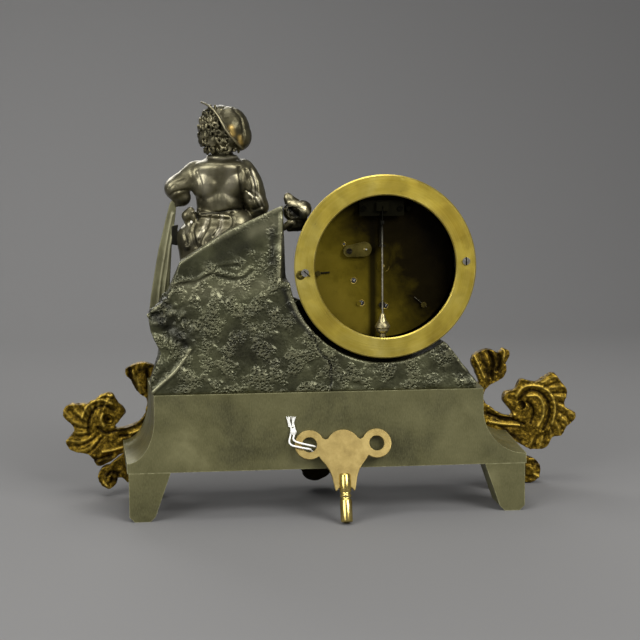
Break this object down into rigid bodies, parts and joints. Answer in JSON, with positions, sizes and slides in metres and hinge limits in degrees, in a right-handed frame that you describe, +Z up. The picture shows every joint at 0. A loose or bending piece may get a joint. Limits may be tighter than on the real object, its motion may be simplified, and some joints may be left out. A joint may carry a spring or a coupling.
{
  "type": "figural mantel clock",
  "caption": "Mantel clock: a seated child figure on a hollow rock beside a drum movement, on a coved plinth with gilt scrolls, with a glazed hinged bezel and a loose winding key.",
  "frame": {"origin": "under the middle of the whole bounding box, on the plane that the feet stand on", "axes": "+Z up, the dial faces -Y and the open back +Y, +X is to the right seen from the dial side"},
  "size_m": [0.33, 0.1088, 0.2395],
  "materials": {
    "spelter": "grey-olive patina, satin",
    "rock_bronze": "dark pitted patina",
    "figure_bronze": "brown-black patina, satin",
    "gilt": "worn gilding",
    "steel": "plain",
    "brass_ring": "brushed",
    "brass_aged": "dull, aged",
    "drum_brass": "dull, aged",
    "enamel": "gloss enamel",
    "blue_steel": "blued",
    "window_glass": "clear",
    "key_brass": "worn",
    "cotton": "twisted cotton string"
  },
  "bodies": {
    "case": {"plinth": "spelter", "rear_foot_left": "spelter", "rear_foot_right": "spelter", "front_foot_left": "gilt", "front_foot_right": "gilt", "foot_screws": "steel", "side_scroll_left": "gilt", "side_scroll_right": "gilt", "front_apron": "gilt", "rock": "rock_bronze", "case_bolts": "steel", "case_nuts": "steel", "figure_body": "figure_bronze", "figure_head": "figure_bronze", "figure_hat": "figure_bronze", "figure_arm_left": "figure_bronze", "figure_arm_right": "figure_bronze", "figure_leg_left": "figure_bronze", "figure_leg_right": "figure_bronze", "oar": "rock_bronze", "gourd": "rock_bronze", "drum_shell": "drum_brass", "rear_ring": "brass_ring", "ring_screws": "steel", "straps": "drum_brass", "bezel_base": "brass_ring", "hinge_pin": "steel", "dial": "enamel", "front_plate": "brass_aged", "back_plate": "brass_aged", "pillars": "brass_aged", "taper_pins": "steel", "click_spring": "steel", "escape_cock": "brass_aged", "movement_screws": "steel", "potence": "brass_aged", "back_cock": "brass_aged"},
    "door": {"bezel_door": "brass_ring", "bezel_glass": "window_glass"},
    "centre": {"centre_wheel": "brass_aged", "cannon_pinion": "brass_aged", "minute_hand": "blue_steel", "hand_collet": "brass_aged"},
    "barrel_body": {"barrel": "brass_aged", "barrel_cap": "brass_aged", "mainspring": "steel"},
    "winding": {"barrel_arbor": "steel", "ratchet_wheel": "steel"},
    "third": {"third_wheel": "brass_aged"},
    "escape": {"escape_wheel": "brass_aged"},
    "minute": {"minute_wheel": "brass_aged"},
    "hour": {"hour_wheel": "brass_aged", "hour_hand": "blue_steel"},
    "pendulum": {"pendulum_rod": "steel", "pendulum_bob": "brass_aged"},
    "nut": {"rating_nut": "brass_aged"},
    "pallet_body": {"pallets": "steel"},
    "click_body": {"click": "steel"},
    "key": {"winding_key": "key_brass", "key_string": "cotton"}
  },
  "joints": [
    {"name": "centre_turn", "type": "hinge", "parent": "case", "child": "centre", "pos_m": [-0.02814, -0.00739, 0.1456], "axis": [0, 1, 0], "continuous": true},
    {"name": "barrel_turn", "type": "hinge", "parent": "case", "child": "barrel_body", "pos_m": [-0.02764, 0.00261, 0.12261], "axis": [0, 1, 0], "continuous": true},
    {"name": "winding_turn", "type": "hinge", "parent": "case", "child": "winding", "pos_m": [-0.02764, -0.00739, 0.12261], "axis": [0, 1, 0], "range_deg": [0, 1800]},
    {"name": "third_turn", "type": "hinge", "parent": "case", "child": "third", "pos_m": [-0.00942, 0.00261, 0.13751], "axis": [0, 1, 0], "continuous": true},
    {"name": "escape_turn", "type": "hinge", "parent": "case", "child": "escape", "pos_m": [-0.01693, 0.00261, 0.1556], "axis": [0, 1, 0], "continuous": true},
    {"name": "minute_wheel_turn", "type": "hinge", "parent": "case", "child": "minute", "pos_m": [-0.02194, -0.01419, 0.15725], "axis": [0, 1, 0], "continuous": true},
    {"name": "hour_turn", "type": "hinge", "parent": "case", "child": "hour", "pos_m": [-0.02814, -0.01659, 0.1456], "axis": [0, 1, 0], "continuous": true},
    {"name": "pendulum_swing", "type": "hinge", "parent": "case", "child": "pendulum", "pos_m": [-0.02672, 0.02681, 0.1771], "axis": [0, 1, 0], "range_deg": [-4, 4]},
    {"name": "rating_nut_turn", "type": "hinge", "parent": "pendulum", "child": "nut", "pos_m": [-0.02672, 0.02681, 0.1066], "axis": [0, 0, 1], "continuous": true},
    {"name": "pallet_rock", "type": "hinge", "parent": "case", "child": "pallet_body", "pos_m": [-0.02672, 0.00261, 0.1771], "axis": [0, 1, 0], "range_deg": [-4, 4]},
    {"name": "click_lift", "type": "hinge", "parent": "case", "child": "click_body", "pos_m": [-0.03564, -0.01409, 0.13161], "axis": [0, 1, 0], "range_deg": [0, 8], "stiffness_Nm_per_rad": 0.004},
    {"name": "door_swing", "type": "hinge", "parent": "case", "child": "door", "pos_m": [-0.07775, -0.03114, 0.15257], "axis": [0, 0, -1], "range_deg": [0, 110]},
    {"name": "key_slide", "type": "slide", "parent": "case", "child": "key", "axis": [0, 1, 0], "range_m": [0, 0.06]}
  ],
  "couplings": [
    {"joint": "barrel_turn", "follows": "centre_turn", "ratio": -0.14286},
    {"joint": "third_turn", "follows": "centre_turn", "ratio": -16},
    {"joint": "escape_turn", "follows": "centre_turn", "ratio": 160},
    {"joint": "minute_wheel_turn", "follows": "centre_turn", "ratio": -0.33333},
    {"joint": "hour_turn", "follows": "centre_turn", "ratio": 0.083333},
    {"joint": "pallet_rock", "follows": "pendulum_swing", "ratio": 1}
  ]
}
